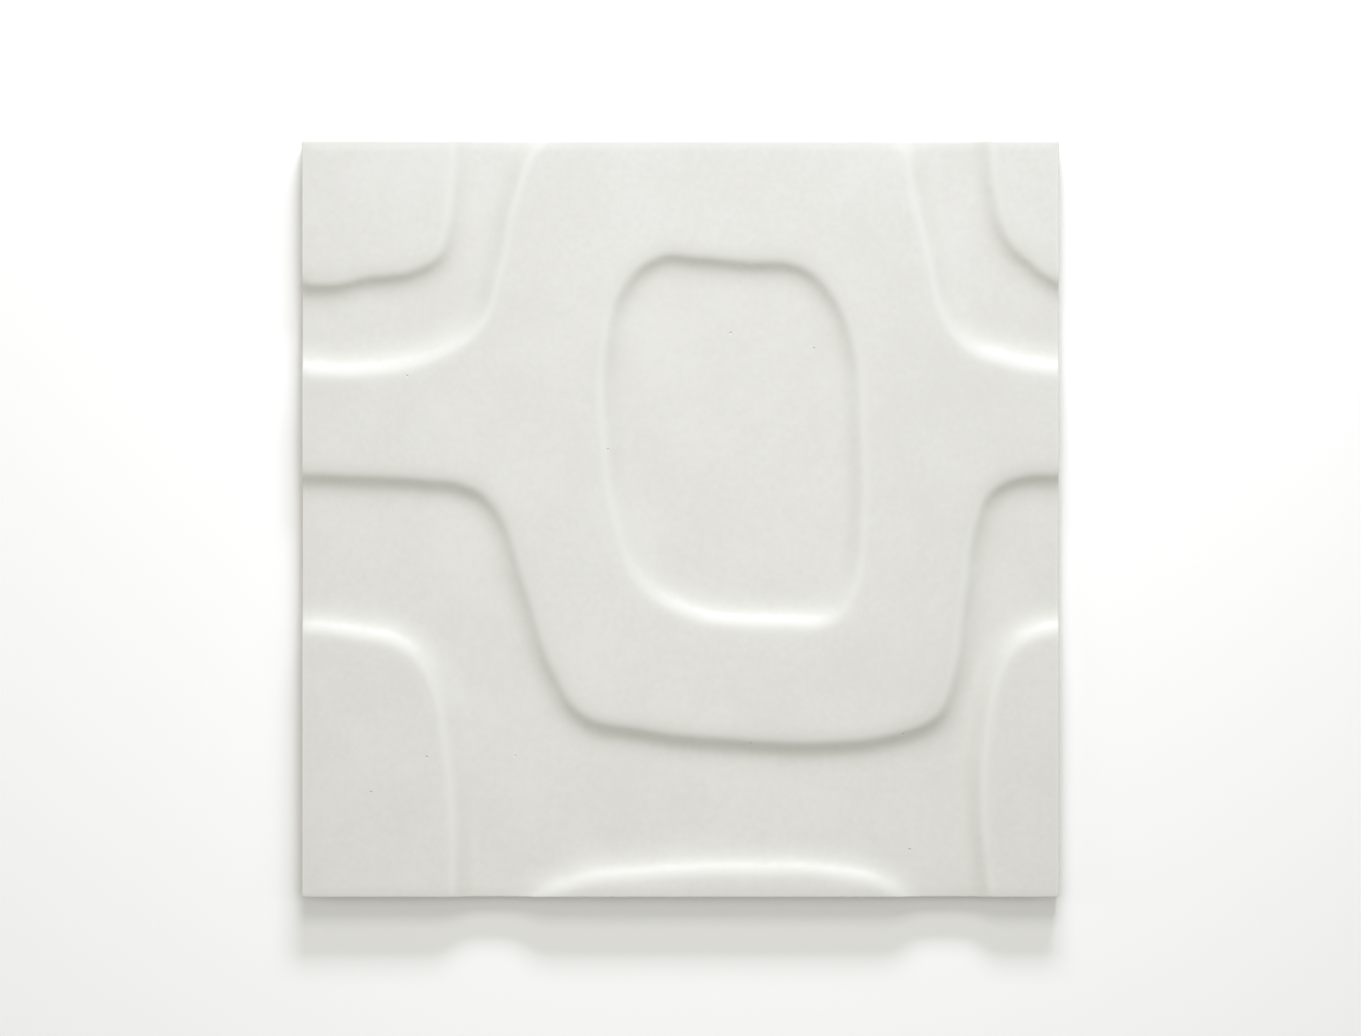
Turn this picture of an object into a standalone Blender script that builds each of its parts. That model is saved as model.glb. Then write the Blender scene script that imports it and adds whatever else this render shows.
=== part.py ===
"""A square relief wall tile in white glazed ceramic: one pressed and fired piece.

The tile lies face up on its flat back. The origin is the centre of the back, +X runs to the right of
the pattern, +Y to its top and +Z out of the glazed face.

The relief has two levels. Raised are a broad band, which runs across the tile and bulges round a
soft-cornered pocket, and an island on each corner of the tile. The ground between them is sunk. Every
outline carries on in the next tile, so each is drawn once, and its copies lie one tile apart.
"""

import math

import bmesh
import bpy
import numpy as np
from mathutils.geometry import delaunay_2d_cdt

MM = 0.001

# Driving dimensions
TILE_SIDE = 304.8 * MM
RAISED_HEIGHT = 12.7 * MM
RELIEF_DEPTH = 3.7 * MM
BACK_CHAMFER = 1.0 * MM

# How far a wall between the levels reaches from its outline, in plan, to its sunk foot and to its raised
# shoulder, and how fast it eases into them: a higher power makes it steeper on the outline and flatter
# further off
FOOT_REACH = 18.0 * MM
SHOULDER_REACH = 13.0 * MM
WALL_POWER = 5

# The rim falls away gently towards the sides and ends in a small round edge. In plan the tile's corners
# are nearly square.
RIM_WIDTH = 3.8 * MM
RIM_DROP = 0.25 * MM
RIM_POWER = 1.5
EDGE_RADIUS = 0.4 * MM
CORNER_RADIUS = 1.0 * MM

# Where the round stretches are cut into flats: along an outline, across a wall at these distances from
# its outline (the sunk side's are negative), across the rim, round its edge and round a corner
POINT_SPACING = 4.0 * MM
WALL_FOLDS = (-9.0 * MM, -5.5 * MM, -3.0 * MM, -1.0 * MM, 0.8 * MM, 2.2 * MM, 4.2 * MM, 6.8 * MM)
RIM_STRIPS = 2
EDGE_STRIPS = 2
CORNER_STRIPS = 2

# Outlines, where the walls are steepest, in millimetres. The band's two edges run once across the tile,
# from its left side to its right side.
BAND_TOP_KNOTS = [
    (-152.4, 62.3), (-121.0, 62.2), (-97.5, 68.8), (-83.1, 79.4), (-75.5, 99.6), (-68.6, 130.8),
    (-59.0, 152.4), (-44.6, 159.4), (-16.0, 163.5), (24.0, 165.2), (64.1, 163.6), (84.4, 158.1),
    (92.3, 150.4), (96.5, 130.4), (102.5, 106.6), (107.7, 85.2), (117.3, 71.7), (130.3, 66.1),
]
BAND_BOTTOM_KNOTS = [
    (-152.4, 16.3), (-129.0, 15.8), (-105.0, 14.4), (-86.4, 11.8), (-76.2, 4.2), (-65.0, -25.0),
    (-50.9, -65.0), (-39.0, -80.6), (-16.0, -86.3), (24.0, -90.6), (60.0, -91.6), (88.6, -87.6),
    (103.9, -80.4), (110.1, -68.3), (115.9, -32.7), (120.5, -2.2), (126.1, 9.7), (136.6, 15.1),
]
POCKET_KNOTS = [
    (-8.6, 104.0), (8.0, 103.8), (28.0, 102.2), (47.0, 100.6), (58.5, 91.2), (66.7, 74.0),
    (70.9, 31.8), (70.8, -4.6), (66.7, -29.0), (58.8, -38.9), (42.0, -40.1), (22.0, -39.4),
    (3.6, -35.8), (-14.2, -23.7), (-22.6, -2.8), (-28.4, 35.8), (-28.4, 68.1), (-22.4, 91.5),
]
# The island is drawn about the corner where four tiles meet.
ISLAND_KNOTS = [
    (0.0, 110.0), (-11.6, 107.4), (-20.5, 101.6), (-27.8, 87.5), (-32.2, 63.3), (-33.2, 35.0),
    (-29.8, 0.0), (-27.9, -20.0), (-22.0, -39.7), (-11.1, -51.0), (0.0, -58.4), (7.5, -59.5),
    (16.0, -58.9), (26.0, -56.4), (34.5, -55.7), (44.6, -53.7), (55.4, -47.9), (59.8, -38.1),
    (62.1, -24.0), (63.4, 0.0), (62.9, 39.0), (60.3, 63.2), (57.6, 80.0), (50.1, 96.0),
    (39.4, 104.1), (23.2, 107.9),
]

HALF_SIDE = TILE_SIDE / 2


def clear_scene():
    for existing in list(bpy.data.objects):
        bpy.data.objects.remove(existing)


def new_collection(name):
    collection = bpy.data.collections.new(name)
    bpy.context.scene.collection.children.link(collection)
    return collection


def draw_guide(name, knots, closed, guides):
    """A smooth curve through the knots, kept as a guide; returns its points in metres, in order."""
    curve = bpy.data.curves.new(name, "CURVE")
    curve.dimensions = "2D"
    spline = curve.splines.new("BEZIER")
    spline.bezier_points.add(len(knots) - 1)
    for point, (x, y) in zip(spline.bezier_points, knots):
        point.co = (x * MM, y * MM, 0.0)
        point.handle_left_type = "AUTO"
        point.handle_right_type = "AUTO"
    spline.use_cyclic_u = closed
    guide = bpy.data.objects.new(name, curve)
    guide.hide_render = True
    guide.display_type = "WIRE"
    guides.objects.link(guide)
    bpy.context.view_layer.update()
    drawn = guide.evaluated_get(bpy.context.evaluated_depsgraph_get()).to_mesh()
    points = [(vertex.co.x, vertex.co.y) for vertex in drawn.vertices]
    if closed:
        points.append(points[0])
    return evenly_spaced(np.array(points))


def evenly_spaced(points):
    """The same line with its points set at equal steps, near POINT_SPACING apart."""
    steps = np.hypot(*np.diff(points, axis=0).T)
    along = np.concatenate([[0.0], np.cumsum(steps)])
    count = round(along[-1] / POINT_SPACING) + 1
    wanted = np.linspace(0.0, along[-1], count)
    return np.column_stack([np.interp(wanted, along, points[:, axis]) for axis in (0, 1)])


def draw_outlines(guides):
    """Every outline that comes near the tile, as an array of points with the raised side on its left hand."""
    tile = TILE_SIDE / MM
    band_edges = {}
    for name, knots in (("band_top", BAND_TOP_KNOTS), ("band_bottom", BAND_BOTTOM_KNOTS)):
        three_tiles = [(x + step * tile, y) for step in (-1, 0, 1) for x, y in knots]
        band_edges[name] = draw_guide(name, three_tiles, False, guides)
    pocket = draw_guide("pocket", POCKET_KNOTS, True, guides)
    island = draw_guide("island", ISLAND_KNOTS, True, guides)
    band_top = band_edges["band_top"][::-1]
    outlines = [band_top, band_top - (0.0, TILE_SIDE), band_edges["band_bottom"], pocket]
    for side_x in (-HALF_SIDE, HALF_SIDE):
        for side_y in (-HALF_SIDE, HALF_SIDE):
            outlines.append(island + (side_x, side_y))
    return outlines


def left_hand(points):
    """The unit vector to the left of the line at each of its points; a closed line ends where it starts."""
    tangents = np.gradient(points, axis=0)
    if np.allclose(points[0], points[-1]):
        tangents[0] = tangents[-1] = points[1] - points[-2]
    tangents /= np.hypot(*tangents.T)[:, None]
    return np.column_stack([-tangents[:, 1], tangents[:, 0]])


def outline_distance(places, outline):
    """Signed distance from each place to one outline: positive on its raised side."""
    starts = outline[:-1]
    runs = np.diff(outline, axis=0)
    lengths = (runs**2).sum(axis=1)
    signed = []
    for place in places:
        to_place = place - starts
        share = np.clip((to_place * runs).sum(axis=1) / lengths, 0.0, 1.0)
        offset = to_place - share[:, None] * runs
        nearest = np.argmin((offset**2).sum(axis=1))
        left = runs[nearest, 0] * to_place[nearest, 1] - runs[nearest, 1] * to_place[nearest, 0]
        signed.append(math.copysign(math.hypot(*offset[nearest]), left))
    return np.array(signed)


def inset(places):
    """How far each place lies inside the tile's round-cornered outline."""
    past_corner = np.abs(places) - (HALF_SIDE - CORNER_RADIUS)
    outside = np.hypot(*np.maximum(past_corner, 0.0).T)
    inside = np.minimum(past_corner.max(axis=1), 0.0)
    return CORNER_RADIUS - outside - inside


def face_height(places, outlines):
    """The height of the glazed face: each wall is steepest on its outline and eases into both levels.

    Where two walls are close, each takes its share of the way to the level between them.
    """
    distances = np.array([outline_distance(places, outline) for outline in outlines])
    reach = np.where(distances > 0.0, SHOULDER_REACH, FOOT_REACH)
    short_of_level = 1.0 - np.minimum(np.abs(distances) / reach, 1.0)
    eased = (1.0 - short_of_level**WALL_POWER).prod(axis=0)
    nearest = np.argmin(np.abs(distances), axis=0)
    is_raised = distances[nearest, np.arange(len(places))] > 0.0
    on_outline = SHOULDER_REACH / (SHOULDER_REACH + FOOT_REACH)
    sunk = np.where(is_raised, on_outline * (1.0 - eased), on_outline + (1.0 - on_outline) * eased)
    relief = RAISED_HEIGHT - RELIEF_DEPTH * sunk
    into_rim = 1.0 - np.clip(inset(places) / RIM_WIDTH, 0.0, 1.0)
    into_edge = 1.0 - np.clip(inset(places) / EDGE_RADIUS, 0.0, 1.0)
    return relief - RIM_DROP * into_rim**RIM_POWER - EDGE_RADIUS * (1.0 - np.sqrt(1.0 - into_edge**2))


def inset_square(depth):
    """The tile's outline in plan, drawn a little inside it, as a closed line."""
    radius = max(CORNER_RADIUS - depth, 0.0)
    centre = HALF_SIDE - depth - radius
    corners = []
    for quarter, (side_x, side_y) in enumerate(((1, 1), (-1, 1), (-1, -1), (1, -1))):
        for step in range(CORNER_STRIPS + 1):
            angle = (quarter + step / CORNER_STRIPS) * math.pi / 2
            x = side_x * centre + radius * math.cos(angle)
            y = side_y * centre + radius * math.sin(angle)
            corners.append((x, y))
    return np.array(corners + corners[:1])


def fold_lines(outlines):
    """The lines along which the face is folded: parallels to each outline, and the steps of the rim."""
    lines = []
    for outline in outlines:
        sideways = left_hand(outline)
        lines += [outline + fold * sideways for fold in WALL_FOLDS]
    for step in range(RIM_STRIPS):
        lines.append(inset_square(RIM_WIDTH - (RIM_WIDTH - EDGE_RADIUS) * step / RIM_STRIPS))
    for step in range(EDGE_STRIPS + 1):
        lines.append(inset_square(EDGE_RADIUS * (1.0 - math.sin(step / EDGE_STRIPS * math.pi / 2))))
    return lines


def flat_sheet(lines):
    """A flat triangulated sheet, as large as the tile, with every fold line among its edges."""
    places, edges = [], []
    near_tile = HALF_SIDE + POINT_SPACING
    for line in lines:
        for start, end in zip(line[:-1], line[1:]):
            if max(np.abs(start).max(), np.abs(end).max()) < near_tile and not np.allclose(start, end):
                edges.append((len(places), len(places) + 1))
                places += [start, end]
    merge_distance = 0.01 * MM
    vertices, _, triangles, _, _, _ = delaunay_2d_cdt(places, edges, [], 0, merge_distance)
    vertices = np.array(vertices)
    inside = inset(vertices[np.array(triangles)].mean(axis=1)) > 0.0
    return vertices, [triangle for triangle, kept in zip(triangles, inside) if kept]


def build_tile(outlines):
    """The whole tile as one closed mesh: its folded face, its four sides and its flat back."""
    places, triangles = flat_sheet(fold_lines(outlines))
    heights = face_height(places, outlines)

    bm = bmesh.new()
    vertices = [bm.verts.new((x, y, z)) for (x, y), z in zip(places, heights)]
    for triangle in triangles:
        bm.faces.new([vertices[corner] for corner in triangle])
    bmesh.ops.delete(bm, geom=[vertex for vertex in bm.verts if not vertex.link_faces], context="VERTS")

    border = [edge for edge in bm.edges if edge.is_boundary]
    back_share = 1.0 - BACK_CHAMFER / HALF_SIDE
    for height, share in ((BACK_CHAMFER, 1.0), (0.0, back_share)):
        made = bmesh.ops.extrude_edge_only(bm, edges=border)["geom"]
        border = [item for item in made if isinstance(item, bmesh.types.BMEdge) and item.is_boundary]
        for vertex in {vertex for edge in border for vertex in edge.verts}:
            vertex.co = (vertex.co.x * share, vertex.co.y * share, height)
    bmesh.ops.triangle_fill(bm, edges=border, use_beauty=True)
    bmesh.ops.recalc_face_normals(bm, faces=bm.faces)

    mesh = bpy.data.meshes.new("tile")
    bm.to_mesh(mesh)
    bm.free()
    return mesh


def white_glaze():
    """A thick satin glaze, warm white."""
    material = bpy.data.materials.new("white_glaze")
    material.use_nodes = True
    shader = material.node_tree.nodes["Principled BSDF"]
    shader.inputs["Base Color"].default_value = (0.70, 0.69, 0.66, 1.0)
    shader.inputs["Roughness"].default_value = 0.28
    shader.inputs["Metallic"].default_value = 0.0
    return material


def main():
    clear_scene()
    guides = new_collection("outline_guides")
    guides.hide_render = True
    mesh = build_tile(draw_outlines(guides))
    mesh.materials.append(white_glaze())
    mesh.shade_smooth()
    mesh.set_sharp_from_angle(angle=math.radians(35.0))
    tile = bpy.data.objects.new("tile", mesh)
    new_collection("wall_tile").objects.link(tile)


main()
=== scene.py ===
# %% [markdown]
# # A relief wall tile in white glaze
#
# The real tile is a foot-square slab of pale clay, pressed in a mould, dipped face down in a thick
# white glaze and fired. Its relief has only two levels with soft walls between them, and the pattern
# runs on from tile to tile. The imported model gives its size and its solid, and this script gives it a
# finer skin: smooth walls, a slightly uneven glaze, and the bare clay that the glaze leaves at the back.

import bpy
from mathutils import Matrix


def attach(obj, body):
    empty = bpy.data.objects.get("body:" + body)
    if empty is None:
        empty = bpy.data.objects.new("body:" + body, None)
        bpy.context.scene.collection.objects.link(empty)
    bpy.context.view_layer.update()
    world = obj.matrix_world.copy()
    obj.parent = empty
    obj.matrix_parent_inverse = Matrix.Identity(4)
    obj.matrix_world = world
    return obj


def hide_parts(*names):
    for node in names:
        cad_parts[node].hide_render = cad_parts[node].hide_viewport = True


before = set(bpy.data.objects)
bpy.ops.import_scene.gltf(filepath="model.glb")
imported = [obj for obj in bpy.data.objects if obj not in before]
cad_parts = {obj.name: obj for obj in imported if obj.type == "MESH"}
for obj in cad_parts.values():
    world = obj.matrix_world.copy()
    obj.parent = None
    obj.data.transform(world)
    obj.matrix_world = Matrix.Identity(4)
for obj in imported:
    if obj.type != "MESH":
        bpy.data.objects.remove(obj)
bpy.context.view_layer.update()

# %% Imports and units
import math

import bmesh
import bpy
import numpy as np
from mathutils import Vector, kdtree, noise

MM = 0.001
scene = bpy.context.scene

# %% [markdown]
# ## The outlines of the relief
#
# On the real tile each level meets the other along a smooth line. Such a line could be traced with
# many short steps, but a few knots with automatic Bezier handles give the same flow and are easy to
# move. The band that crosses the tile has an upper and a lower edge, the pocket is a closed loop, and
# one closed loop, drawn about the corner where four tiles meet, makes all four corner islands.

# %% Knots of the outlines, in millimetres from the tile's centre
TILE_SIDE = 304.8
BAND_TOP_KNOTS = [
    (-152.4, 62.3), (-121.0, 62.2), (-97.5, 68.8), (-83.1, 79.4), (-75.5, 99.6), (-68.6, 130.8),
    (-59.0, 152.4), (-44.6, 159.4), (-16.0, 163.5), (24.0, 165.2), (64.1, 163.6), (84.4, 158.1),
    (92.3, 150.4), (96.5, 130.4), (102.5, 106.6), (107.7, 85.2), (117.3, 71.7), (130.3, 66.1),
]
BAND_BOTTOM_KNOTS = [
    (-152.4, 16.3), (-129.0, 15.8), (-105.0, 14.4), (-86.4, 11.8), (-76.2, 4.2), (-65.0, -25.0),
    (-50.9, -65.0), (-39.0, -80.6), (-16.0, -86.3), (24.0, -90.6), (60.0, -91.6), (88.6, -87.6),
    (103.9, -80.4), (110.1, -68.3), (115.9, -32.7), (120.5, -2.2), (126.1, 9.7), (136.6, 15.1),
]
POCKET_KNOTS = [
    (-8.6, 104.0), (8.0, 103.8), (28.0, 102.2), (47.0, 100.6), (58.5, 91.2), (66.7, 74.0),
    (70.9, 31.8), (70.8, -4.6), (66.7, -29.0), (58.8, -38.9), (42.0, -40.1), (22.0, -39.4),
    (3.6, -35.8), (-14.2, -23.7), (-22.6, -2.8), (-28.4, 35.8), (-28.4, 68.1), (-22.4, 91.5),
]
ISLAND_KNOTS = [
    (0.0, 110.0), (-11.6, 107.4), (-20.5, 101.6), (-27.8, 87.5), (-32.2, 63.3), (-33.2, 35.0),
    (-29.8, 0.0), (-27.9, -20.0), (-22.0, -39.7), (-11.1, -51.0), (0.0, -58.4), (7.5, -59.5),
    (16.0, -58.9), (26.0, -56.4), (34.5, -55.7), (44.6, -53.7), (55.4, -47.9), (59.8, -38.1),
    (62.1, -24.0), (63.4, 0.0), (62.9, 39.0), (60.3, 63.2), (57.6, 80.0), (50.1, 96.0),
    (39.4, 104.1), (23.2, 107.9),
]

# %% Draw a smooth line through knots and read it back at even steps
STEPS_BETWEEN_KNOTS = 24
LINE_STEP = 0.5


def smooth_line(knots, closed):
    curve = bpy.data.curves.new("outline", "CURVE")
    curve.dimensions = "2D"
    curve.resolution_u = STEPS_BETWEEN_KNOTS
    spline = curve.splines.new("BEZIER")
    spline.bezier_points.add(len(knots) - 1)
    for point, (x, y) in zip(spline.bezier_points, knots):
        point.co = (x, y, 0.0)
        point.handle_left_type = point.handle_right_type = "AUTO"
    spline.use_cyclic_u = closed
    guide = bpy.data.objects.new("outline", curve)
    scene.collection.objects.link(guide)
    bpy.context.view_layer.update()
    drawn = guide.evaluated_get(bpy.context.evaluated_depsgraph_get()).to_mesh()
    points = np.array([vertex.co[:2] for vertex in drawn.vertices])
    bpy.data.objects.remove(guide)
    if closed:
        points = np.vstack([points, points[:1]])
    along = np.concatenate([[0.0], np.cumsum(np.hypot(*np.diff(points, axis=0).T))])
    even = np.linspace(0.0, along[-1], round(along[-1] / LINE_STEP) + 1)
    return np.column_stack([np.interp(even, along, points[:, axis]) for axis in (0, 1)])


def across_three_tiles(knots):
    return smooth_line([(x + step * TILE_SIDE, y) for step in (-1, 0, 1) for x, y in knots], False)


# %% Lay the outlines out over the tile, each with the raised side on its left hand
band_top = across_three_tiles(BAND_TOP_KNOTS)[::-1]
band_bottom = across_three_tiles(BAND_BOTTOM_KNOTS)
island = smooth_line(ISLAND_KNOTS, True)
outlines = [band_top, band_top - (0.0, TILE_SIDE), band_bottom, smooth_line(POCKET_KNOTS, True)]
half = TILE_SIDE / 2
outlines += [island + (side_x, side_y) for side_x in (-half, half) for side_y in (-half, half)]
print("outline lengths, mm:", [round(len(line) * LINE_STEP) for line in outlines])

# %% [markdown]
# ## How high the face stands at any place
#
# A wall in a press mould has no sharp edge: it leaves the sunk ground slowly, is steepest on its
# outline and turns over into the raised face, which is a tighter bend than the foot. A bevel could
# give such a wall, but its two bends would be alike. Here the height is worked out from one number
# only, the distance to the outline. A search tree over an outline's points finds that distance fast
# enough for every point of a fine mesh, and the side that the point lies on gives its sign. Where two
# walls are close, their shares are multiplied, so the ground between them stays smooth.

# %% Signed distance to an outline, positive on its raised side
def outline_distance(outline, x, y):
    tangents = np.gradient(outline, axis=0)
    tangents /= np.hypot(*tangents.T)[:, None]
    search = kdtree.KDTree(len(outline))
    for index, (px, py) in enumerate(outline):
        search.insert((px, py, 0.0), index)
    search.balance()
    nearest = np.array([search.find((px, py, 0.0))[1] for px, py in zip(x, y)])
    away_x, away_y = x - outline[nearest, 0], y - outline[nearest, 1]
    sideways = tangents[nearest, 0] * away_y - tangents[nearest, 1] * away_x
    return np.copysign(np.hypot(away_x, away_y), sideways)


# %% How far down a place lies between the two levels: 0 raised, 1 sunk
FOOT_REACH = 18.0
SHOULDER_REACH = 13.0
WALL_POWER = 5


def nearest_distance(distances):
    nearest = np.argmin(np.abs(distances), axis=0)
    return distances[nearest, np.arange(distances.shape[1])]


def sunk_share(distances):
    reach = np.where(distances > 0.0, SHOULDER_REACH, FOOT_REACH)
    short_of_level = 1.0 - np.minimum(np.abs(distances) / reach, 1.0)
    eased = (1.0 - short_of_level**WALL_POWER).prod(axis=0)
    on_outline = SHOULDER_REACH / (SHOULDER_REACH + FOOT_REACH)
    is_raised = nearest_distance(distances) > 0.0
    return np.where(is_raised, on_outline * (1.0 - eased), on_outline + (1.0 - on_outline) * eased)


steps_up = np.array([[-6.0, -3.0, 0.0, 3.0, 6.0]])
print("share of the way down, from 6 mm on the sunk side to 6 mm on the raised side:")
print(sunk_share(steps_up).round(2))

# %% [markdown]
# ## The face as a grid
#
# The face is one sheet. Patches could be cut along the outlines, but a wall has no line where it
# starts, so the sheet is Blender's grid, with squares of about a millimetre, which is fine enough for
# the walls. At the rim the face falls away a little towards the sides and ends in a small round edge,
# and the rows of the grid crowd together there, so that the edge stays round. The last millimetre of
# each corner is turned from a square into a quarter circle.

# %% Where the rows and columns of the grid lie
GRID_STEP = 1.1
RIM_WIDTH = 3.8
EDGE_RADIUS = 0.4
RIM_ROWS = 4
EDGE_ROWS = 5
CORNER_RADIUS = 1.0

rim_insets = np.linspace(RIM_WIDTH, EDGE_RADIUS, RIM_ROWS + 1)[:-1]
edge_insets = EDGE_RADIUS * (1.0 - np.sin(np.linspace(0.0, math.pi / 2, EDGE_ROWS + 1)))
outer_rows = half - np.concatenate([rim_insets, edge_insets])
plain_count = round(2 * (half - RIM_WIDTH) / GRID_STEP)
plain_rows = np.linspace(-(half - RIM_WIDTH), half - RIM_WIDTH, plain_count + 1)
rows = np.concatenate([-outer_rows[:0:-1], plain_rows, outer_rows[1:]])
print("rows of the grid:", len(rows))

# %% Make the grid and move its points there
tile_mesh = bmesh.new()
bmesh.ops.create_grid(tile_mesh, x_segments=len(rows) - 1, y_segments=len(rows) - 1, size=1.0)
even_rows = np.linspace(-1.0, 1.0, len(rows))
flat = np.array([vertex.co[:2] for vertex in tile_mesh.verts])
x = np.interp(flat[:, 0], even_rows, rows)
y = np.interp(flat[:, 1], even_rows, rows)

past_x = np.clip((np.abs(x) - half) / CORNER_RADIUS + 1.0, 0.0, 1.0)
past_y = np.clip((np.abs(y) - half) / CORNER_RADIUS + 1.0, 0.0, 1.0)
x -= np.sign(x) * CORNER_RADIUS * past_x * (1.0 - np.sqrt(1.0 - past_y**2 / 2))
y -= np.sign(y) * CORNER_RADIUS * past_y * (1.0 - np.sqrt(1.0 - past_x**2 / 2))
print("points of the face:", len(x))

# %% [markdown]
# ## The glaze settles
#
# Thick glaze moves while it melts. It leaves the raised shoulders and gathers in the hollows, which
# rounds them a little differently everywhere, and its surface keeps slow waves a few hundredths of a
# millimetre high. Both could be a bump in the material, but waves this wide also bend the reflections
# and the outlines, so they are real geometry here: noise moves the walls sideways by a tenth or two
# of a millimetre and the face up and down by a few hundredths. The whole face lies a little lower than
# the solid's, which leaves room for the waves.

# %% Slow noise over the tile, with patches of the given size in millimetres
WANDER = 0.22
FINE_WANDER = 0.10
WAVE = 0.030
FINE_WAVE = 0.014


def slow_noise(x, y, size, seed):
    return np.array([noise.noise(Vector((px / size, py / size, seed))) for px, py in zip(x, y)])


wall_wander = WANDER * slow_noise(x, y, size=16.0, seed=3.7)
wall_wander += FINE_WANDER * slow_noise(x, y, size=5.0, seed=8.1)
glaze_waves = WAVE * slow_noise(x, y, size=34.0, seed=1.3)
glaze_waves += FINE_WAVE * slow_noise(x, y, size=11.0, seed=5.9)
print("walls wander by up to", np.abs(wall_wander).max().round(2), "mm")
print("glaze waves reach up to", np.abs(glaze_waves).max().round(3), "mm")

# %% [markdown]
# ## The rim
#
# Three sides of the real tile have a rim that rolls over slowly, while the top one ends in a flat bevel
# that catches the light as an even stripe and grows weaker to the right. Every rim could have its own
# rule, but one roll all round, with a flat slope laid over it along the top, gives both.

# %% How far in from the tile's outside each point lies, and its share of the rim and of the round edge
past_corner_x, past_corner_y = np.abs(x) - half + CORNER_RADIUS, np.abs(y) - half + CORNER_RADIUS
outside = np.hypot(np.maximum(past_corner_x, 0.0), np.maximum(past_corner_y, 0.0))
inset = CORNER_RADIUS - outside - np.minimum(np.maximum(past_corner_x, past_corner_y), 0.0)
into_rim = 1.0 - np.clip(inset / RIM_WIDTH, 0.0, 1.0)
into_edge = 1.0 - np.clip(inset / EDGE_RADIUS, 0.0, 1.0)
print("points on the rim and on the round edge:", (into_rim > 0.0).sum(), (into_edge > 0.0).sum())

# %% Drops of the rim and the edge, in millimetres
RIM_DROP = 0.25
RIM_POWER = 1.5
TOP_BEVEL_SOFTENS = 0.3

into_top = np.clip((y - half) / RIM_WIDTH + 1.0, 0.0, 1.0)
top_bevel = 1.0 - TOP_BEVEL_SOFTENS * np.clip(x / TILE_SIDE + 0.5, 0.0, 1.0)
rim_drop = RIM_DROP * np.maximum(into_rim**RIM_POWER, top_bevel * into_top)
edge_drop = EDGE_RADIUS * (1.0 - np.sqrt(np.maximum(1.0 - into_edge**2, 0.0)))
print("deepest drop of the rim, mm:", rim_drop.max().round(2))

# %% Height of every point
RAISED_HEIGHT = 12.7
RELIEF_DEPTH = 3.7
WAVE_ROOM = 0.05

distances = np.array([outline_distance(outline, x, y) for outline in outlines]) + wall_wander
relief = RAISED_HEIGHT - RELIEF_DEPTH * sunk_share(distances)
height = relief - rim_drop - edge_drop - WAVE_ROOM - glaze_waves
for vertex, px, py, pz in zip(tile_mesh.verts, x, y, height):
    vertex.co = (px * MM, py * MM, pz * MM)
print("lowest and highest point of the face, mm:", height.min().round(2), height.max().round(2))

# %% Note where the glaze is thick and where it is thin, by the distance up from an outline, with painted shade in the thick band and a painted highlight in the thin one
THIN_AND_HIGHLIGHT_AT = 3.0
THIN_AND_HIGHLIGHT_WIDTH = 1.7
POOLED_AND_SHADE_AT = -2.4
POOLED_AND_SHADE_WIDTH = 2.8

distance = nearest_distance(distances)
# Thin glaze on the shoulders and along the rim, which also carries a painted highlight there.
thinned_and_highlight = np.maximum(np.exp(-((distance - THIN_AND_HIGHLIGHT_AT) / THIN_AND_HIGHLIGHT_WIDTH) ** 2), into_rim**2)
# Thick glaze at the foot of each wall, which also carries painted shade there.
pooled_and_shade = np.exp(-((distance - POOLED_AND_SHADE_AT) / POOLED_AND_SHADE_WIDTH) ** 2)
for name, amounts in (("pooled_and_shade", pooled_and_shade), ("thinned_and_highlight", thinned_and_highlight), ("glazed", np.ones(len(x)))):
    layer = tile_mesh.verts.layers.float.new(name)
    for vertex, amount in zip(tile_mesh.verts, amounts):
        vertex[layer] = amount
print("share of the face that is thinned and pooled:", thinned_and_highlight.mean().round(2), pooled_and_shade.mean().round(2))

# %% [markdown]
# ## Sides and back
#
# The glaze runs a little way down the sides and stops in an uneven line, where it stands proud of the
# clay. Below that line and on the back the clay is bare, because the tile lay there in the kiln. Sides
# and back could be a second slab under the face, but the tile is a single fired piece, so four strips
# hang down from the grid's border: to the glaze's edge, in to the clay, down to the chamfer and in to
# the back, which is filled. Blender's own extrude makes such strips too, but it may list their faces
# in another order on each run. Here the border's points are sorted into a ring first.

# %% Hang the sides from the border and close the back
GLAZE_EDGE = 2.4
GLAZE_EDGE_WAVE = 0.6
LONG_WAVE = 14.0
SHORT_WAVE = 3.0
SHORT_WAVE_SHARE = 0.4
GLAZE_LIP = 0.3
GLAZE_THICKNESS = 0.2
BACK_CHAMFER = 1.0

glazed = tile_mesh.verts.layers.float["glazed"]


def strip_below(ring, level, uneven=0.0, inward=0.0, is_glazed=0.0):
    lower_ring = []
    for vertex in ring:
        across = Vector((vertex.co.x, vertex.co.y, 0.0)) / MM
        wave = noise.noise(across / LONG_WAVE) + SHORT_WAVE_SHARE * noise.noise(across / SHORT_WAVE)
        lower = tile_mesh.verts.new(across * (1.0 - inward / half) * MM, vertex)
        lower.co.z = (level + uneven * wave) * MM
        lower[glazed] = is_glazed
        lower_ring.append(lower)
    for here in range(len(ring)):
        before = here - 1
        tile_mesh.faces.new((ring[here], ring[before], lower_ring[before], lower_ring[here]))
    return lower_ring


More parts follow.
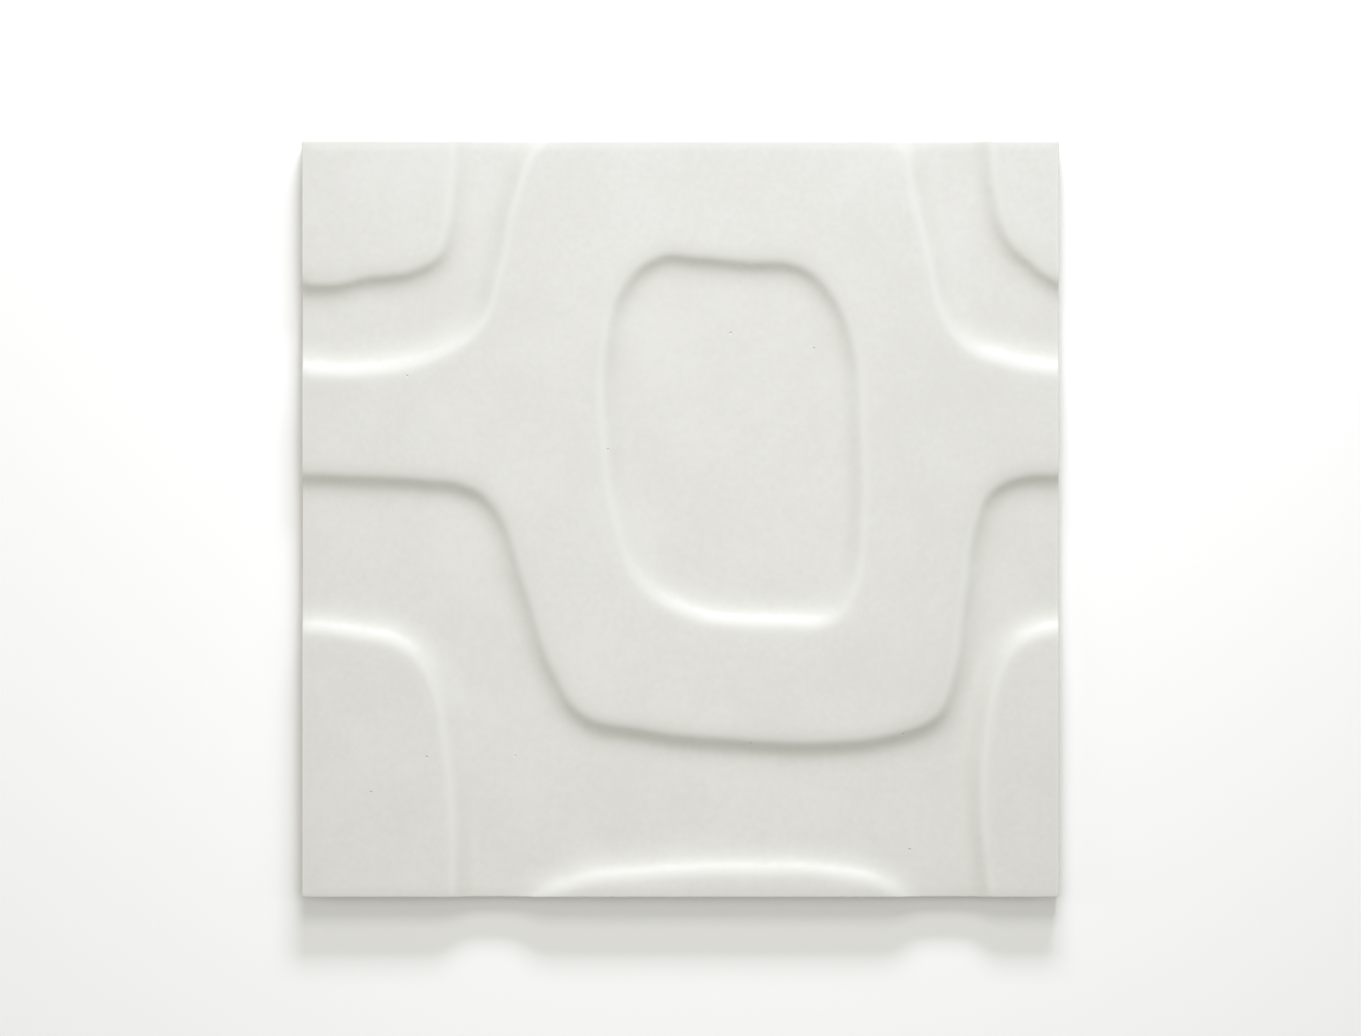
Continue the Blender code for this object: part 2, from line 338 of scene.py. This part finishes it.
border = {vertex for edge in tile_mesh.edges if edge.is_boundary for vertex in edge.verts}
ring = sorted(border, key=lambda vertex: math.atan2(vertex.co.y, vertex.co.x))
ring = strip_below(ring, GLAZE_EDGE, uneven=GLAZE_EDGE_WAVE, is_glazed=1.0)
ring = strip_below(ring, GLAZE_EDGE - GLAZE_LIP, uneven=GLAZE_EDGE_WAVE, inward=GLAZE_THICKNESS)
ring = strip_below(ring, BACK_CHAMFER)
strip_below(ring, 0.0, inward=BACK_CHAMFER - GLAZE_THICKNESS)
rim_of_back = [edge for edge in tile_mesh.edges if edge.is_boundary]
bmesh.ops.triangle_fill(tile_mesh, edges=rim_of_back, use_beauty=True)
bmesh.ops.recalc_face_normals(tile_mesh, faces=tile_mesh.faces)
print("faces of the closed tile:", len(tile_mesh.faces))

# %% Turn it into the tile
SHARP_TURN = math.radians(40)

mesh = bpy.data.meshes.new("glazed_tile")
tile_mesh.to_mesh(mesh)
tile_mesh.free()
mesh.shade_smooth()
mesh.set_sharp_from_angle(angle=SHARP_TURN)
tile = bpy.data.objects.new("glazed_tile", mesh)
scene.collection.objects.link(tile)
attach(tile, "root")
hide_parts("tile")
mesh.calc_loop_triangles()
print("triangles:", len(mesh.loop_triangles))
print("size, mm:", [round(side / MM, 2) for side in tile.dimensions])

# %% [markdown]
# ## Writing shader maths as sums
#
# A glaze is a pile of small effects, each with its own mask. Adding Math nodes one by one hides what
# they calculate, so a small class wraps a node's output and lets Python's own signs add the nodes.

# %% A number that varies over the surface
class Value:
    def __init__(self, finish, output):
        self.finish, self.output = finish, output

    def math(self, operation, *numbers):
        return self.finish.node("ShaderNodeMath", {"operation": operation}, dict(enumerate(numbers)))

    def __add__(self, other):
        return self.math("ADD", self, other)

    def __sub__(self, other):
        return self.math("SUBTRACT", self, other)

    def __rsub__(self, other):
        return self.math("SUBTRACT", other, self)

    def __mul__(self, other):
        return self.math("MULTIPLY", self, other)

    __radd__ = __add__
    __rmul__ = __mul__

    def least(self, other):
        return self.math("MINIMUM", self, other)

    def rise(self, low, high):
        """0 up to low, 1 from high on, with a smooth step between them."""
        settings = {"interpolation_type": "SMOOTHSTEP"}
        sockets = {"Value": self, "From Min": low, "From Max": high}
        return self.finish.node("ShaderNodeMapRange", settings, sockets)


# %% A material, and the one method that adds its nodes
class Finish:
    def __init__(self, name):
        self.material = bpy.data.materials.new(name)
        self.material.use_nodes = True
        self.tree = self.material.node_tree
        self.tree.nodes.clear()

    def node(self, kind, settings, sockets, output=0):
        node = self.tree.nodes.new(kind)
        for name, setting in settings.items():
            setattr(node, name, setting)
        for name, value in sockets.items():
            if isinstance(value, Value):
                self.tree.links.new(value.output, node.inputs[name])
            else:
                node.inputs[name].default_value = value
        return Value(self, node.outputs[output]) if node.outputs else None

    def mix(self, first, second, amount):
        return self.node("ShaderNodeMix", {"data_type": "RGBA"}, {0: amount, 6: first, 7: second}, 2)

    def amount(self, name):
        return self.node("ShaderNodeAttribute", {"attribute_name": name}, {}, "Fac")

    def mottle(self, place, size, detail, seed):
        """Noise round 0, with patches of the given size in millimetres."""
        sockets = {"Vector": place, "W": seed, "Scale": 1.0 / size, "Detail": detail, "Roughness": 0.55}
        return self.node("ShaderNodeTexNoise", {"noise_dimensions": "4D"}, sockets) - 0.5


def colour(red, green, blue):
    return (red, green, blue, 1.0)


# %% [markdown]
# ## The glaze
#
# The glaze is a warm white with a satin gloss. It could be one colour, but a dipped glaze is thick in
# the hollows, where it turns a little olive, and thin on the shoulders, where it is lighter. The olive
# band at each wall's foot is also painted shade, and the light band on the shoulders and along the rim
# is also a painted highlight. Faint clouds a few centimetres wide, a finer speckle, an orange-peel
# surface and a few burst bubbles are what the eye knows a fired glaze by, so each of them has its own
# layer.

# %% Places on the tile in millimetres, and the glaze's two kinds of mottle
glaze = Finish("white_glaze")
metres = glaze.node("ShaderNodeTexCoord", {}, {}, "Object")
place = glaze.node("ShaderNodeVectorMath", {"operation": "SCALE"}, {"Vector": metres, "Scale": 1.0 / MM})
clouds = glaze.mottle(place, size=30.0, detail=3.0, seed=1.0)
speckle = glaze.mottle(place, size=2.6, detail=2.0, seed=2.0)

# %% Colour of the glaze
GLAZE = colour(0.710, 0.700, 0.676)
GLAZE_SHADE = colour(0.670, 0.659, 0.631)
# Olive of thick glaze, also used as painted shade at the walls' feet
GLAZE_POOLED_AND_SHADE = colour(0.650, 0.643, 0.595)
# Light colour of thin glaze, also used as a painted highlight on shoulders and rim
GLAZE_THIN_AND_HIGHLIGHT = colour(0.745, 0.738, 0.710)
POOLED_AND_SHADE_TINT = 0.4
THIN_AND_HIGHLIGHT_TINT = 0.6
PATCHINESS = 1.2

pooled_and_shade_here = glaze.amount("pooled_and_shade") * (1.0 + PATCHINESS * clouds)
thin_and_highlight_here = glaze.amount("thinned_and_highlight") * (1.0 + PATCHINESS * speckle)
glaze_colour = glaze.mix(GLAZE, GLAZE_SHADE, (0.6 * clouds + 0.5 * speckle).rise(-0.2, 0.2))
# Painted shade: the foot of each wall is darkened and tinted olive, partly as thick glaze.
glaze_colour = glaze.mix(glaze_colour, GLAZE_POOLED_AND_SHADE, POOLED_AND_SHADE_TINT * pooled_and_shade_here)
# Painted highlight: the shoulders and the rim are lightened, partly as thin glaze.
glaze_colour = glaze.mix(glaze_colour, GLAZE_THIN_AND_HIGHLIGHT, THIN_AND_HIGHLIGHT_TINT * thin_and_highlight_here)

# %% [markdown]
# ## Burst bubbles
#
# A few bubbles broke at the surface of the melting glaze and left pits about a millimetre wide. A
# random pattern would put them anywhere, but this tile has few enough to name the place of each. The
# distance to the nearest one is a chain of smallest values, and a smooth step turns it into a pit,
# which is dented in the bump and darkened a little with painted shade.

# %% Pits as place and radius, in millimetres from the tile's centre
PITS = [
    (20.3, 74.9, 0.7), (53.8, 68.8, 0.5), (28.0, -90.6, 0.7), (89.6, -86.6, 0.5),
    (92.4, -133.3, 0.6), (-66.6, -95.5, 0.5), (-102.1, -95.9, 0.6), (-110.1, 57.5, 0.6),
    (-29.2, 28.1, 0.5), (-124.6, -110.0, 0.6),
]
PIT_FLOOR = 0.35
# Colour and amount of the painted shade inside each pit
PIT_SHADE_COLOUR = colour(0.50, 0.49, 0.44)
PIT_SHADE_TINT = 0.15

level_place = glaze.node("ShaderNodeVectorMath", {"operation": "MULTIPLY"}, {0: place, 1: (1.0, 1.0, 0.0)})
from_pit = None
for pit_x, pit_y, pit_radius in PITS:
    sockets = {0: level_place, 1: (pit_x, pit_y, 0.0)}
    away = glaze.node("ShaderNodeVectorMath", {"operation": "DISTANCE"}, sockets, "Value")
    away = away * (1.0 / pit_radius)
    from_pit = away if from_pit is None else from_pit.least(away)
pit = 1.0 - from_pit.rise(PIT_FLOOR, 1.0)
# Painted shade: each pit is darkened a little, as the shade in its hollow.
glaze_colour = glaze.mix(glaze_colour, PIT_SHADE_COLOUR, PIT_SHADE_TINT * pit)
print("pits:", len(PITS))

# %% Relief too fine for the mesh, in millimetres
PEEL_HEIGHT = 0.014
RIPPLE_HEIGHT = 0.075
GRAIN_HEIGHT = 0.025
PIT_DEPTH = 0.2

orange_peel = PEEL_HEIGHT * glaze.mottle(place, size=2.2, detail=1.0, seed=3.0)
ripples = RIPPLE_HEIGHT * glaze.mottle(place, size=8.0, detail=2.0, seed=4.0)
grain = GRAIN_HEIGHT * glaze.mottle(place, size=1.5, detail=1.0, seed=8.0)
glaze_relief = orange_peel + ripples + grain * glaze.amount("thinned_and_highlight") - PIT_DEPTH * pit
print("nodes of the glaze:", len(glaze.tree.nodes))

# %% [markdown]
# ## The bare clay
#
# Below the glaze line the fired body shows: pale, dry and sandy. It could be a second material on its
# own faces, but then the line would follow the mesh's edges. One material holds both finishes, and a
# Mix Shader changes from one to the other along the uneven line where the glaze stops.

# %% Clay
CLAY = colour(0.66, 0.60, 0.51)
CLAY_DARK = colour(0.50, 0.43, 0.34)
GRIT_HEIGHT = 0.10
CLAY_WAVE_HEIGHT = 0.05

clay_cloud = glaze.mottle(place, size=24.0, detail=4.0, seed=5.0)
grit = glaze.mottle(place, size=0.9, detail=2.0, seed=6.0)
clay_colour = glaze.mix(CLAY, CLAY_DARK, (clay_cloud + 0.9 * grit).rise(0.0, 0.9))
clay_relief = GRIT_HEIGHT * grit + CLAY_WAVE_HEIGHT * glaze.mottle(place, size=5.0, detail=2.0, seed=7.0)

# %% The two shaders and the line between them
SATIN = 0.44
DRY = 0.88


def surface(base, roughness, relief, gloss):
    normal = glaze.node("ShaderNodeBump", {}, {"Strength": 1.0, "Distance": MM, "Height": relief})
    sockets = {"Base Color": base, "Roughness": roughness, "Normal": normal,
               "IOR": 1.5, "Specular IOR Level": gloss}
    return glaze.node("ShaderNodeBsdfPrincipled", {}, sockets)


glaze_shader = surface(glaze_colour, SATIN + 0.10 * clouds + 0.06 * speckle, glaze_relief, 0.5)
clay_shader = surface(clay_colour, DRY, clay_relief, 0.3)
glaze_line = glaze.amount("glazed").rise(0.35, 0.65)
both = glaze.node("ShaderNodeMixShader", {}, {0: glaze_line, 1: clay_shader, 2: glaze_shader})
glaze.node("ShaderNodeOutputMaterial", {}, {"Surface": both})
mesh.materials.append(glaze.material)
print("nodes in the tile's material:", len(glaze.tree.nodes))

# %% [markdown]
# ## Floor, light and camera
#
# The tile lies on a plain white floor, which is set a hair below its back, because two faces in one
# plane would flicker. A white relief is seen only by its shading, and a single lamp would leave the
# walls that face away from it too dark. So a cool low key lamp beyond the tile's upper edge, with its
# beam narrowed to a right angle, lights the walls that face up the pattern, and a higher lamp evens
# out the flats. One fill from each side draws out the walls that face left and right, a small lamp
# overhead gives a faint sheen, and the room's own light fills the shadows. The camera looks straight
# down through a long lens from three metres, which keeps the square square.

# %% Floor
FLOOR_SIDE = 8.0
FLOOR_GAP = 0.2 * MM

floor_mesh = bpy.data.meshes.new("floor")
corner = FLOOR_SIDE / 2
corners = [(-corner, -corner, -FLOOR_GAP), (corner, -corner, -FLOOR_GAP),
           (corner, corner, -FLOOR_GAP), (-corner, corner, -FLOOR_GAP)]
floor_mesh.from_pydata(corners, [], [(0, 1, 2, 3)])
floor = bpy.data.objects.new("floor", floor_mesh)
scene.collection.objects.link(floor)

floor_finish = Finish("pale_floor")
floor_sockets = {"Base Color": colour(0.96, 0.96, 0.96), "Roughness": 0.9, "Specular IOR Level": 0.1}
floor_shader = floor_finish.node("ShaderNodeBsdfPrincipled", {}, floor_sockets)
floor_finish.node("ShaderNodeOutputMaterial", {}, {"Surface": floor_shader})
floor_mesh.materials.append(floor_finish.material)
print("floor, m:", FLOOR_SIDE, "square")

# %% A soft lamp, placed by its direction from the tile
def soft_lamp(name, tint, azimuth, elevation, distance, width, height, watts):
    """Azimuth in degrees to the right of the tile's top, elevation above the floor, sizes in metres."""
    turn, rise = math.radians(azimuth), math.radians(elevation)
    toward = Vector((math.sin(turn) * math.cos(rise), math.cos(turn) * math.cos(rise), math.sin(rise)))
    light = bpy.data.lights.new(name, "AREA")
    light.shape = "RECTANGLE"
    light.size, light.size_y, light.energy, light.color = width, height, watts, tint
    lamp = bpy.data.objects.new(name, light)
    lamp.location = toward * distance
    lamp.rotation_euler = toward.to_track_quat("Z", "Y").to_euler()
    lamp.visible_camera = False
    scene.collection.objects.link(lamp)
    print(name, "lamp at, m:", [round(metre, 2) for metre in lamp.location])
    return light


# %% Lamps
COOL = (0.945, 0.98, 1.07)
WARM = (0.998, 0.994, 0.935)
KEY_BEAM = math.radians(90)

key = soft_lamp("key", COOL, azimuth=6, elevation=27, distance=1.3, width=0.6, height=0.25, watts=3.3)
key.spread = KEY_BEAM
soft_lamp("upper", WARM, azimuth=3, elevation=55, distance=1.6, width=0.6, height=0.5, watts=5.75)
soft_lamp("left_fill", WARM, azimuth=-90, elevation=30, distance=1.6, width=0.5, height=1.2, watts=2.85)
soft_lamp("right_fill", WARM, azimuth=90, elevation=45, distance=2.0, width=0.4, height=1.2, watts=3.2)
soft_lamp("overhead", WARM, azimuth=180, elevation=78, distance=0.5, width=0.2, height=0.3, watts=0.3)

# %% Light of the room
ROOM_STRENGTH = 0.372

room = bpy.data.worlds.new("room")
room.use_nodes = True
room_light = room.node_tree.nodes["Background"]
room_light.inputs["Color"].default_value = colour(*WARM)
room_light.inputs["Strength"].default_value = ROOM_STRENGTH
scene.world = room
scene.view_settings.view_transform = "Standard"

# %% Camera
CAMERA_HEIGHT = 3.0
CAMERA_SHIFT_UP = 0.36 * MM
VIEW_WIDTH = 0.548

camera_data = bpy.data.cameras.new("camera")
camera_data.sensor_fit = "HORIZONTAL"
camera_data.angle = 2 * math.atan(VIEW_WIDTH / 2 / CAMERA_HEIGHT)
camera = bpy.data.objects.new("camera", camera_data)
camera.location = (0.0, CAMERA_SHIFT_UP, CAMERA_HEIGHT + RAISED_HEIGHT * MM)
scene.collection.objects.link(camera)
scene.camera = camera
print("angle of view, degrees:", round(math.degrees(camera_data.angle), 2))
